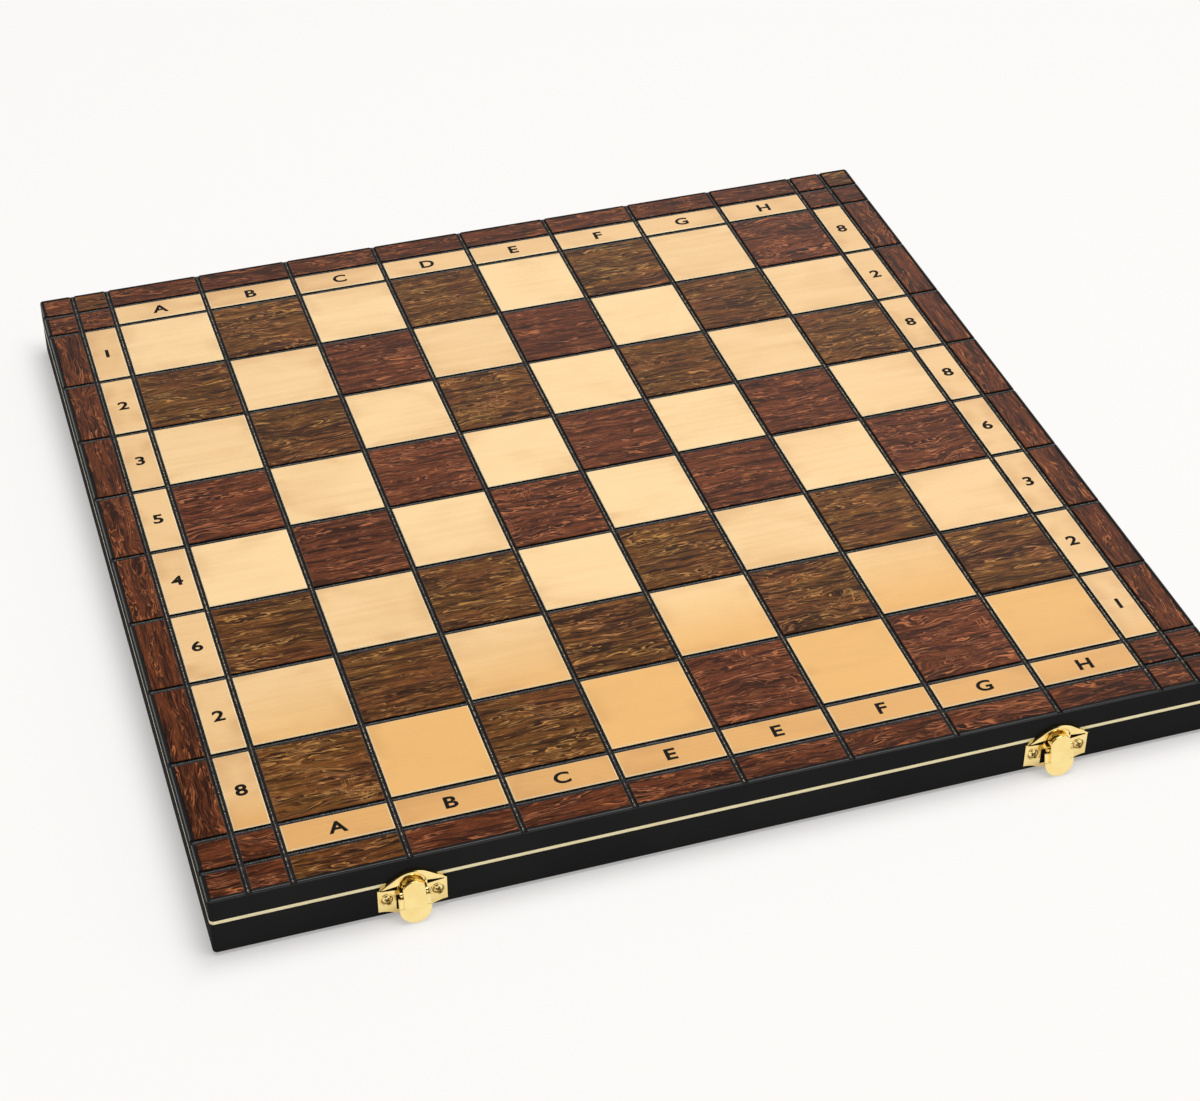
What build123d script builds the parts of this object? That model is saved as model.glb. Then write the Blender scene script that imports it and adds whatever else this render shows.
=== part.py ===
from build123d import *
from math import acos, atan2, cos, hypot, pi, radians, sin, sqrt
import os

# Folding chess board: two half boxes joined by butt hinges on the fold line, closed by two snap clasps.
# Lengths are in millimetres. X runs along the files, Y from the near side to the far side, Z up.
# Pieces are drawn with the fold line at y = 0 and the playing surface at z = 0, then set down on their base.

# Playing surface
squares_across = 8
square_pitch = 50.0      # one square with its share of the grooves
groove_width = 3.0
label_pitch = 19.0       # strip of label tiles, groove to groove
border_pitch = 17.5      # from the middle of the outermost groove to the outer face
black_edge = 1.8         # frame left showing round the veneer
notch_depth = 0.8        # where the grooves run out over the frame
veneer = 1.2
tile_chamfer = 0.35

# Half boxes
side_height = 31.0
rail_thick = 12.0
panel_thick = 5.0
corner_radius = 2.0
seam_radius = 0.5
edge_radius = 0.8
lining_thick = 0.8
lining_gap = 0.2
line_drop = 13.0         # middle of the inlaid line below the playing surface
line_height = 1.8
line_depth = 1.0

# Joinery
tongue_thick = 3.0
tongue_width = 10.0
tongue_height = 17.0
tongue_gap = 4.0         # from the rim to the tongue
dowel_radius = 2.5
dowel_length = 18.0
dowel_in_side = 7.0
dowel_spacing = 10.0

# Butt hinges
hinge_inset = 92.0       # from the side of the board to the middle of a hinge
hinge_length = 30.0
leaf_width = 10.0        # from the pin to the edge of the leaf
leaf_thick = 1.0
barrel_radius = 1.7
hinge_pin_radius = 0.8
middle_knuckle = 10.0
knuckle_gap = 0.2
barrel_gap = 0.3
pin_play = 0.05
mortise_play = 0.1
hinge_screw_radius = 1.05
hinge_screw_head = 2.1
hinge_screw_length = 9.0
hinge_screw_spacing = 10.0
hinge_screw_stagger = 1.0

# Clasp plates, on the near rail
clasp_grooves = 3        # clasps stand over the third groove out from the middle
plate_width = 30.6
plate_thick = 0.8
plate_bevel = 0.15
plate_drop = 7.0         # top of the crest below the playing surface
plate_rise = 8.1         # top of the crest above its shoulders
crest_radius = 12.0      # the crest falls to its shoulders in straight lines
plate_scallop = 2.8
plate_foot_width = 14.0
rim_gap = 0.2
crescent_raise = 0.9
crescent_bevel = 0.35
crescent_lift = 1.2      # its lower edge climbs from the shoulders to the pocket
slit_web = 0.9           # slit between crescent and ears: metal left at the pocket
slit_inset = 1.3         # metal left at the side
slit_root = 1.75         # its foot below the shoulders, at the pocket
slit_tip = 0.9           # its foot below the shoulders, at the side
pocket_width = 11.3
pocket_rise = 4.4
pocket_rim = 1.7         # raised metal left above the pocket
window_foot = 2.6
window_gap = 0.25
ear_thick = 0.8
ear_radius = 1.35
clasp_screw_radius = 1.2
clasp_screw_head = 2.15
clasp_screw_dome = 0.75
clasp_screw_sink = 0.35  # rim of the head below the face of the plate
clasp_screw_length = 9.0
clasp_screw_inset = 4.15
clasp_screw_drop = 6.35  # below the shoulders of the plate
well_radius = 2.75       # countersunk well round each screw head
ring_radius = 3.2        # ring pressed up round the well
ring_rise = 0.3

# Clasp levers, measured from the pin and square to their own lean
pivot_drop = 18.0        # pin below the playing surface
pivot_out = 3.0          # pin in front of the rail
lever_lean = 13.0        # degrees that the foot of a lever stands out
lever_sheet = 0.8
button_width = 10.1
button_top = 6.8
button_foot = 6.6
button_rise = 2.9
button_front = 2.9
button_wall = 2.2        # depth of the wall round the top of the button
button_round = 0.45
flap_width = 14.2
flap_top = 1.6
flap_front = 1.2
flap_bevel = 0.25
lug_radius = 1.4
lug_gap = 0.2
lip_height = 0.6
lip_back = 0.9
clasp_pin_radius = 0.75
spring_radius = 1.65
spring_wire = 0.25       # radius of the wire
spring_turns = 2
spring_pitch = 0.95
spring_points = 48       # points to a turn at which its least gap is measured
spring_drop = 14.3
spring_seat = 0.05

# Catches, on the far rail
catch_height = 11.0
catch_rise = 3.7
catch_screw_height = 4.0
hook_width = 6.8
hook_out = 4.9
hook_length = 5.4
barb_out = 6.2
barb_thick = 0.5
barb_chamfer = 0.2
hook_rim_gap = 0.05
latch_play = 0.08

overcut = 1.0            # how far a cut runs past the face that it leaves by

half_width = squares_across / 2 * square_pitch + label_pitch + border_pitch
half_depth = half_width
panel_top = -veneer
panel_foot = -veneer - panel_thick
rim = -side_height
hinge_x = half_width - hinge_inset
clasp_x = clasp_grooves * square_pitch
plate_foot = rim + rim_gap
plate_top = -plate_drop
shoulder = plate_top - plate_rise
screw_x = plate_width / 2 - clasp_screw_inset
lug_face = button_width / 2
ear_face = lug_face + lug_gap
flap_back = flap_front - lever_sheet

# The lip at the foot of a lever passes just under the barb of the catch when the box is shut.
lean = radians(lever_lean)
lip_drop = side_height + hook_rim_gap + barb_thick + latch_play - pivot_drop
lever_foot = (lip_drop + flap_back * sin(lean)) / cos(lean) + lip_height

# The base is the underside of the hinge barrels, and the box is centred on its base with its metalwork.
lever_reach = pivot_out + lever_foot * sin(lean) + flap_front * cos(lean)
fold_y = (lever_reach - barb_out) / 2
base = rim - barrel_radius


def block(x0, x1, y0, y1, z0, z1):
    """Box between two corners."""
    middle = ((x0 + x1) / 2, (y0 + y1) / 2, (z0 + z1) / 2)
    return Pos(*middle) * Box(x1 - x0, y1 - y0, z1 - z0)


def rod(x0, x1, y, z, radius):
    """Round bar along X."""
    return Pos((x0 + x1) / 2, y, z) * Rot(0, 90, 0) * Cylinder(radius, x1 - x0)


def on_side(shape, side):
    """A piece drawn on the near half, or its mirror image on the far half."""
    return shape if side == "near" else mirror(shape, about=Plane.XZ)


def on_rail(shape, x):
    """A piece drawn flat, facing +Z, stands up on the outer face of the near rail."""
    return Pos(x, -half_depth, 0) * Rot(90, 0, 0) * shape


def side_profile(points):
    """Outline drawn as (height, distance out) pairs."""
    return make_face(Polyline(*[(0, height, out) for height, out in points], close=True))


def across(face, x0, x1):
    """A side profile given its width along X."""
    return Pos(x0, 0, 0) * extrude(face, amount=x1 - x0, dir=(1, 0, 0))


# Playing surface: veneer tiles glued to the panel, with open grooves between them.

def strips(far_edge):
    """Lengths from the middle of the board outwards: (start, end, kind, number) of each row of tiles."""
    half_count = squares_across // 2
    rows = [(n * square_pitch, (n + 1) * square_pitch, "square", n) for n in range(half_count)]
    edge = half_count * square_pitch
    rows.append((edge, edge + label_pitch, "label", half_count))
    rows.append((edge + label_pitch, far_edge - black_edge, "border", half_count + 1))
    cut = groove_width / 2
    return [(a + cut, b - (0 if kind == "border" else cut), kind, n) for a, b, kind, n in rows]


def tile_group(column, row, side, right):
    """Which veneer a tile is cut from."""
    kinds = {column[2], row[2]}
    if kinds == {"square"}:
        file_number = column[3] if right else -1 - column[3]
        rank_number = row[3] if side == "far" else -1 - row[3]
        return "dark_squares" if (file_number + rank_number) % 2 == 0 else "light_squares"
    return "label_tiles" if kinds == {"square", "label"} else "border_tiles"


def tile(x0, x1, y0, y1):
    """One piece of veneer with its upper edges eased."""
    piece = block(x0, x1, y0, y1, panel_top, 0)
    return chamfer(piece.faces().sort_by(Axis.Z)[-1].edges(), tile_chamfer)


def tiles(side):
    """All tiles of one half, grouped by veneer."""
    groups = {"light_squares": [], "dark_squares": [], "label_tiles": [], "border_tiles": []}
    for row in strips(half_depth):
        y0, y1 = (row[0], row[1]) if side == "far" else (-row[1], -row[0])
        for column in strips(half_width):
            for right in (False, True):
                x0, x1 = (column[0], column[1]) if right else (-column[1], -column[0])
                groups[tile_group(column, row, side, right)].append(tile(x0, x1, y0, y1))
    return groups


# Half boxes: four rails and a panel let into them.

def frame_outline():
    """Plan of a half box: rounded at the two outer corners, nearly square at the fold."""
    plan = Pos(0, -half_depth / 2) * Rectangle(2 * half_width, half_depth)
    plan = fillet(plan.vertices().group_by(Axis.Y)[0], corner_radius)
    return fillet(plan.vertices().group_by(Axis.Y)[-1], seam_radius)


def outer_rails():
    """Front and side rails before they are cut apart at the mitres."""
    body = Pos(0, 0, rim) * extrude(frame_outline(), side_height)
    body = fillet(body.edges().group_by(Axis.Z)[0] + body.edges().group_by(Axis.Z)[-1], edge_radius)
    inside = half_width - rail_thick
    rebate = half_width - black_edge
    body -= block(-inside, inside, rail_thick - half_depth, overcut, rim - overcut, overcut)
    body -= block(-rebate, rebate, black_edge - half_depth, overcut, panel_foot, overcut)
    return body - line_band() - corner_tongues() - groove_ends()


def groove_ends():
    """Shallow notches where the saw that cuts the grooves runs out over the frame."""
    cut = groove_width / 2
    lines = [n * square_pitch for n in range(squares_across // 2 + 1)]
    lines.append(lines[-1] + label_pitch)
    notches = []
    for line in lines:
        for x in {line, -line}:
            notches.append(block(x - cut, x + cut, -half_depth - overcut, black_edge - half_depth,
                                 -notch_depth, overcut))
        for start, end in ((-half_width - overcut, black_edge - half_width),
                           (half_width - black_edge, half_width + overcut)):
            notches.append(block(start, end, -line - cut, min(cut - line, overcut), -notch_depth, overcut))
    return notches


def line_band():
    """Space of the inlaid line round the three outer faces."""
    core = Rectangle(2 * (half_width - line_depth), 2 * (half_depth - line_depth))
    core = fillet(core.vertices(), corner_radius - line_depth)
    return Pos(0, 0, -line_drop - line_height / 2) * extrude(frame_outline() - core, line_height)


def corner_tongues():
    """Loose tongues across the two mitres."""
    middle = half_width - rail_thick / 2
    depth = half_depth - rail_thick / 2
    height = rim + tongue_gap + tongue_height / 2
    tongue = Box(tongue_width, tongue_thick, tongue_height)
    return [Pos(x, -depth, height) * Rot(0, 0, turn) * tongue for x, turn in ((-middle, -45), (middle, 45))]


def mitred(body):
    """Cut a U of rails, or the line in it, into its front, left and right lengths."""
    reach = 2 * rail_thick
    low = (-half_width - overcut, -half_depth - overcut)
    side_plan = Polyline(low, (low[0] + reach, low[1] + reach), (low[0] + reach, overcut),
                         (low[0], overcut), close=True)
    left_cut = Pos(0, 0, rim - overcut) * extrude(make_face(side_plan), side_height + 2 * overcut)
    right_cut = mirror(left_cut, about=Plane.YZ)
    return body - left_cut - right_cut, body & left_cut, body & right_cut


def fold_dowels():
    """Dowels between the fold rail and the side rails."""
    inside = half_width - rail_thick
    middle = (rim + panel_foot) / 2
    start = inside + dowel_in_side - dowel_length
    pegs = []
    for z in (middle - dowel_spacing / 2, middle + dowel_spacing / 2):
        pegs.append(rod(-start - dowel_length, -start, -rail_thick / 2, z, dowel_radius))
        pegs.append(rod(start, start + dowel_length, -rail_thick / 2, z, dowel_radius))
    return pegs


def fold_rail():
    """Rail at the fold, with housings for the hinges in its rim."""
    inside = half_width - rail_thick
    rail = block(-inside, inside, -rail_thick, 0, rim, panel_foot)
    half_length = hinge_length / 2 + mortise_play
    edge = leaf_width + mortise_play
    for x in (-hinge_x, hinge_x):
        rail -= block(x - half_length, x + half_length, -edge, 0, rim, rim + leaf_thick)
        rail -= rod(x - half_length, x + half_length, 0, rim, barrel_radius + barrel_gap)
        for hole_x, hole_y in hinge_screw_places(x):
            hole = Cylinder(hinge_screw_radius, hinge_screw_length)
            rail -= Pos(hole_x, hole_y, rim + hinge_screw_length / 2) * hole
    return rail - fold_dowels()


def panel():
    """Plywood panel that carries the veneer and closes the half box."""
    edge = half_width - black_edge
    return block(-edge, edge, black_edge - half_depth, 0, panel_foot, panel_top)


def lining():
    """Cloth glued inside the half box."""
    x = half_width - rail_thick - lining_gap
    near_edge = half_depth - rail_thick - lining_gap
    return block(-x, x, -near_edge, -rail_thick - lining_gap, panel_foot - lining_thick, panel_foot)


# Butt hinges: leaves let into the rims of the fold rails, pin on the line where the rims meet.

def hinge_screw_places(x):
    """Zigzag of screws in one leaf."""
    middle = (barrel_radius + barrel_gap + leaf_width) / 2
    return [(x + n * hinge_screw_spacing, -middle + hinge_screw_stagger * (1 - 2 * abs(n)))
            for n in (-1, 0, 1)]


def hinge_screw(x, y):
    """Countersunk wood screw, head flush with the leaf."""
    outline = Polyline((0, 0), (hinge_screw_head, 0), (hinge_screw_radius, leaf_thick),
                       (hinge_screw_radius, hinge_screw_length - hinge_screw_radius),
                       (0, hinge_screw_length), close=True)
    shape = revolve(make_face(Plane.XZ * outline), Axis.Z)
    return Pos(x, y, rim) * shape


def leaf(x, knuckles):
    """Leaf on the near side of the pin, with the knuckles at the given spans along the pin."""
    half_length = hinge_length / 2
    edge = barrel_radius + barrel_gap
    body = block(x - half_length, x + half_length, -leaf_width, -edge, rim, rim + leaf_thick)
    for a, b in knuckles:
        body += block(x + a, x + b, -edge, 0, rim, rim + leaf_thick)
        body += rod(x + a, x + b, 0, rim, barrel_radius)
    for hole_x, hole_y in hinge_screw_places(x):
        body -= hinge_screw(hole_x, hole_y)
    return body


def hinge_pieces(x):
    """Near leaf with the outer knuckles, far leaf with the middle one, and the pin."""
    half_length = hinge_length / 2
    middle = middle_knuckle / 2
    outer = [(-half_length, -middle - knuckle_gap), (middle + knuckle_gap, half_length)]
    pin = rod(x - half_length, x + half_length, 0, rim, hinge_pin_radius)
    play = rod(x - middle - overcut, x + middle + overcut, 0, rim, hinge_pin_radius + pin_play)
    near_leaf = leaf(x, outer) - pin
    far_leaf = on_side(leaf(x, [(-middle, middle)]), "far") - play
    return near_leaf, far_leaf, pin


# Snap clasps: a stamped plate with two ears, a lever on a pin, and a coil spring behind its button.

def arch(width, top, foot, rise):
    """Flat outline with straight sides and a domed top."""
    x = width / 2
    sides = Polyline((-x, top - rise), (-x, foot), (x, foot), (x, top - rise))
    dome = ThreePointArc((x, top - rise), (0, top), (-x, top - rise))
    return make_face(sides + dome)


def plate_outline():
    """Round crest with straight shoulders, square ears and a foot drawn down to the rim in two scallops."""
    x = plate_width / 2
    crest_centre = plate_top - crest_radius
    turn = atan2(shoulder - crest_centre, x) + acos(crest_radius / hypot(x, shoulder - crest_centre))
    crest_x = crest_radius * cos(turn)
    crest_y = crest_centre + crest_radius * sin(turn)
    foot_x = plate_foot_width / 2
    ear_foot = plate_foot + plate_scallop
    bow_x = (x + foot_x) / 2
    bow_y = (ear_foot + plate_foot) / 2 + plate_scallop / 4
    edges = [
        Line((-x, shoulder), (-crest_x, crest_y)),
        ThreePointArc((-crest_x, crest_y), (0, plate_top), (crest_x, crest_y)),
        Line((crest_x, crest_y), (x, shoulder)),
        Line((x, shoulder), (x, ear_foot)),
        ThreePointArc((x, ear_foot), (bow_x, bow_y), (foot_x, plate_foot)),
        Line((foot_x, plate_foot), (-foot_x, plate_foot)),
        ThreePointArc((-foot_x, plate_foot), (-bow_x, bow_y), (-x, ear_foot)),
        Line((-x, ear_foot), (-x, shoulder)),
    ]
    return make_face(Curve() + edges)


def clasp_screw(x, y):
    """Countersunk wood screw with a domed head, drawn pointing into the rail."""
    tip = -clasp_screw_length
    neck = tip + clasp_screw_radius
    seat = plate_thick - clasp_screw_sink
    crown = seat + clasp_screw_dome
    dome_radius = (clasp_screw_head ** 2 + clasp_screw_dome ** 2) / (2 * clasp_screw_dome)
    side = clasp_screw_head / 2
    height = crown - dome_radius + sqrt(dome_radius ** 2 - side ** 2)
    lower = Polyline((0, crown), (0, tip), (clasp_screw_radius, neck), (clasp_screw_radius, 0),
                     (clasp_screw_head, seat))
    dome = ThreePointArc((clasp_screw_head, seat), (side, height), (0, crown))
    return Pos(x, y, 0) * revolve(make_face(Plane.XZ * (lower + dome)), Axis.Z)


def clasp_screws():
    """The two screws of one clasp plate."""
    return [clasp_screw(x, shoulder - clasp_screw_drop) for x in (-screw_x, screw_x)]


def wells(plate, y):
    """Press the two screw places of a plate: a raised ring round a countersunk well."""
    for x in (-screw_x, screw_x):
        plate += Pos(x, y, plate_thick) * Torus(ring_radius, ring_rise)
        plate -= Pos(x, y, plate_thick - clasp_screw_sink / 2) * Cone(clasp_screw_head, well_radius,
                                                                   clasp_screw_sink)
    return plate


def clasp_plate():
    """Stamped plate: a raised crescent round the button, slits that part it from the ears with the screws,
    a window behind the lever, and two lugs bent out for the pin."""
    outline = plate_outline()
    plate = extrude(outline, plate_thick)
    plate = chamfer(plate.faces().sort_by(Axis.Z)[-1].edges(), plate_bevel)
    pocket = arch(pocket_width, plate_top - pocket_rim, plate_foot, pocket_rise)
    side = plate_width / 2
    mouth = pocket_width / 2
    climb = crescent_lift / (side - mouth)
    upper = make_face(Polyline((-side, shoulder), (-mouth, shoulder + crescent_lift),
                               (mouth, shoulder + crescent_lift), (side, shoulder),
                               (side, plate_top + overcut), (-side, plate_top + overcut), close=True))
    crescent = extrude((outline & upper) - pocket, crescent_raise + plate_bevel)
    crescent = chamfer(crescent.faces().sort_by(Axis.Z)[-1].edges(), crescent_bevel)
    plate += Pos(0, 0, plate_thick - plate_bevel) * crescent
    plate = wells(plate, shoulder - clasp_screw_drop)
    through = crescent_raise + plate_thick + overcut
    root = mouth + slit_web
    end = side - slit_inset
    slit_plan = Polyline((root, shoulder + climb * (side - root)), (end, shoulder + climb * slit_inset),
                         (end, shoulder - slit_tip), (root, shoulder - slit_root), close=True)
    slit = Pos(0, 0, -overcut) * extrude(make_face(slit_plan), through + overcut)
    plate -= slit
    plate -= mirror(slit, about=Plane.YZ)
    sill = plate_foot + window_foot
    wide = flap_width / 2 + window_gap
    ear_low = -pivot_drop - ear_radius
    ear_high = -pivot_drop + ear_radius
    plate -= block(-ear_face, ear_face, sill, ear_high + window_gap, -overcut, through)
    plate -= block(-wide, wide, sill, ear_low - window_gap, -overcut, through)
    stem = side_profile([(ear_low, 0), (ear_high, 0), (ear_high, pivot_out), (ear_low, pivot_out)])
    ear = across(stem, ear_face, ear_face + ear_thick)
    ear += rod(ear_face, ear_face + ear_thick, -pivot_drop, pivot_out, ear_radius)
    plate += ear
    plate += mirror(ear, about=Plane.YZ)
    return plate - clasp_screws() - clasp_pin()


def clasp_pin():
    """Pin through the ears and the lugs of the lever."""
    end = ear_face + ear_thick + lug_gap
    return rod(-end, end, -pivot_drop, pivot_out, clasp_pin_radius)


def button():
    """Hollow arched button whose side walls run back to two lugs on the pin."""
    outline = arch(button_width, button_top, -button_foot, button_rise)
    outside = Pos(0, 0, -lug_radius) * extrude(outline, button_front + lug_radius)
    outside = fillet(outside.faces().sort_by(Axis.Z)[-1].edges(), button_round)
    inside = extrude(offset(outline, -lever_sheet), button_front + lug_radius - lever_sheet)
    inside = Pos(0, 0, -lug_radius) * inside
    wall = side_profile([(button_top, button_front), (button_top, button_front - button_wall),
                         (0, -lug_radius), (-flap_top, flap_back), (-button_foot, flap_back),
                         (-button_foot, button_front)])
    keep = across(wall, -lug_face, lug_face) + rod(-lug_face, lug_face, 0, 0, lug_radius)
    return (outside - inside) & keep


def flap():
    """U-shaped flap round the lower half of the button, with a lip turned in at its foot."""
    radius = flap_width / 2
    bend = radius - lever_foot
    outline = Pos(0, bend) * Circle(radius)
    outline += Pos(0, (bend - flap_top) / 2) * Rectangle(flap_width, -flap_top - bend)
    sheet = Pos(0, 0, flap_back) * extrude(outline, lever_sheet)
    sheet = chamfer(sheet.faces().sort_by(Axis.Z)[-1].edges(), flap_bevel)
    opening = offset(arch(button_width, button_top, -button_foot, button_rise), -lever_sheet)
    sheet -= extrude(opening, button_front)
    foot = Pos(0, -lever_foot + lip_height / 2) * Rectangle(flap_width, lip_height)
    lip = Pos(0, 0, -lip_back) * extrude(outline & foot, lip_back + flap_back)
    return sheet + lip


def clasp_lever():
    """Rocking lever, leaning out at its foot as it stands at rest."""
    bore = rod(-lug_face - overcut, lug_face + overcut, 0, 0, clasp_pin_radius + pin_play)
    lever = button() + flap() - bore
    return Pos(0, -pivot_drop, pivot_out) * Rot(-lever_lean, 0, 0) * lever


def least_gap(path):
    """Least clear distance of a spring to itself, between points that lie half a turn or more apart."""
    count = spring_points * spring_turns
    points = [path @ (n / count) for n in range(count + 1)]
    return min((points[a] - points[b]).length for a in range(count + 1)
               for b in range(a + spring_points // 2, count + 1)) - 2 * spring_wire


def clasp_spring():
    """Coil spring between the plate and the back of the button, as arcs of a quarter turn."""
    start = plate_thick + spring_seat + spring_wire

    def point(quarter_turns):
        angle = quarter_turns * pi / 2
        rise = spring_pitch * quarter_turns / 4
        return (spring_radius * cos(angle), spring_radius * sin(angle), start + rise)

    arcs = [ThreePointArc(point(n), point(n + 0.5), point(n + 1)) for n in range(4 * spring_turns)]
    path = Wire(arcs)
    section = Plane(origin=path @ 0, z_dir=path % 0) * Circle(spring_wire)
    print("least gap between turns of a clasp spring", round(least_gap(path), 3))
    return Pos(0, -spring_drop, 0) * sweep(section, path=path)


# Catches: plates on the far rail, each with a hook that lies under the lip of a lever when the box is shut.

def catch_screws():
    """The two screws of one catch."""
    return [clasp_screw(x, plate_foot + catch_screw_height) for x in (-screw_x, screw_x)]


def catch_plate():
    """Arched plate with a tongue bent out into a barbed hook at the rim."""
    plate = extrude(arch(plate_width, plate_foot + catch_height, plate_foot, catch_rise), plate_thick)
    end = rim + hook_rim_gap
    bend = end + hook_length
    slot = hook_width / 2 + window_gap
    plate = wells(plate, plate_foot + catch_screw_height)
    plate -= block(-slot, slot, plate_foot, bend - lever_sheet, -overcut, plate_thick + overcut)
    tongue = side_profile([(end, hook_out - lever_sheet), (end, barb_out - barb_chamfer),
                           (end + barb_chamfer, barb_out), (end + barb_thick, barb_out),
                           (end + barb_thick, hook_out), (bend - lever_sheet, hook_out),
                           (bend, hook_out - lever_sheet), (bend, 0), (bend - lever_sheet, 0),
                           (bend - lever_sheet, hook_out - lever_sheet)])
    plate += across(tongue, -hook_width / 2, hook_width / 2)
    return plate - catch_screws()


# Build every piece of both halves.

parts = {}
for side in ("near", "far"):
    front, left, right = mitred(outer_rails())
    end_name = "near_front_rail" if side == "near" else "far_back_rail"
    line_front, line_left, line_right = mitred(line_band())
    dowels = fold_dowels()
    parts[end_name] = [front]
    parts[side + "_left_rail"] = [left - dowels]
    parts[side + "_right_rail"] = [right - dowels]
    parts[side + "_fold_rail"] = [fold_rail()]
    parts[side + "_panel"] = [panel()]
    parts[side + "_lining"] = [lining()]
    parts[side + "_inlaid_line"] = [line_front, line_left, line_right]
    parts[side + "_corner_tongues"] = corner_tongues()
    parts[side + "_fold_dowels"] = dowels
    places = hinge_screw_places(-hinge_x) + hinge_screw_places(hinge_x)
    parts[side + "_hinge_screws"] = [hinge_screw(x, y) for x, y in places]
    for name in list(parts):
        if name.startswith("far_") and side == "far":
            parts[name] = [on_side(solid, "far") for solid in parts[name]]
    for name, solids in tiles(side).items():
        parts[side + "_" + name] = solids

rail_screws = []
catch_rail_screws = []
for name, hand in (("left", -1), ("right", 1)):
    near_leaf, far_leaf, pin = hinge_pieces(hand * hinge_x)
    parts["near_" + name + "_hinge_leaf"] = [near_leaf]
    parts["far_" + name + "_hinge_leaf"] = [far_leaf]
    parts[name + "_hinge_pin"] = [pin]
    x = hand * clasp_x
    parts[name + "_clasp_plate"] = [on_rail(clasp_plate(), x)]
    parts[name + "_clasp_lever"] = [on_rail(clasp_lever(), x)]
    parts[name + "_clasp_pin"] = [on_rail(clasp_pin(), x)]
    parts[name + "_clasp_spring"] = [on_rail(clasp_spring(), x)]
    parts[name + "_catch_plate"] = [on_side(on_rail(catch_plate(), x), "far")]
    rail_screws += [on_rail(screw, x) for screw in clasp_screws()]
    catch_rail_screws += [on_side(on_rail(screw, x), "far") for screw in catch_screws()]

parts["clasp_screws"] = rail_screws
parts["catch_screws"] = catch_rail_screws
parts["near_front_rail"] = [parts["near_front_rail"][0] - rail_screws]
parts["far_back_rail"] = [parts["far_back_rail"][0] - catch_rail_screws]

os.makedirs("parts", exist_ok=True)
for name, shapes in parts.items():
    solids = [solid for shape in shapes for solid in shape.solids()]
    placed = [Pos(0, fold_y, -base) * solid for solid in solids]
    node = placed[0] if len(placed) == 1 else Compound(children=placed)
    export_step(node, "parts/" + name + ".step")
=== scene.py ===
from math import cos, pi, radians, sin

import bpy
import numpy as np
from mathutils import Matrix, Vector


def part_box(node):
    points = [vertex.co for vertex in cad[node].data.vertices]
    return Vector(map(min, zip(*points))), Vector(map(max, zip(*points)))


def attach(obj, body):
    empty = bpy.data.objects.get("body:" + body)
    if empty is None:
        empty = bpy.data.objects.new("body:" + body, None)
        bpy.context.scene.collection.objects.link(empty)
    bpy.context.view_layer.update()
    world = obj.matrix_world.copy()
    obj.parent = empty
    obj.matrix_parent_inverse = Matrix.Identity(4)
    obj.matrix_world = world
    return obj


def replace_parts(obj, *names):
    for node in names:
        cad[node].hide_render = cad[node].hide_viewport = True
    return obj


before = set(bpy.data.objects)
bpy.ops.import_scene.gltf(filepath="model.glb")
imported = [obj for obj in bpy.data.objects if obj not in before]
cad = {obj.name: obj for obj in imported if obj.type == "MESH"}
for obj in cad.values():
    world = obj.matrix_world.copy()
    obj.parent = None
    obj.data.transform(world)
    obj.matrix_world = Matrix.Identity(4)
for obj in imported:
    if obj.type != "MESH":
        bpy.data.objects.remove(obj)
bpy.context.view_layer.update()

# Rails of the two half boxes: hardwood lengths, mitred at the outer corners and dowelled at the fold,
# sanded with eased edges and sprayed with satin black lacquer. All lengths here are in metres.
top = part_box("near_light_squares")[1].z
half_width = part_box("near_right_rail")[1].x
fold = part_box("near_panel")[1].y
near_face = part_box("near_front_rail")[0].y
far_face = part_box("far_back_rail")[1].y


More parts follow.
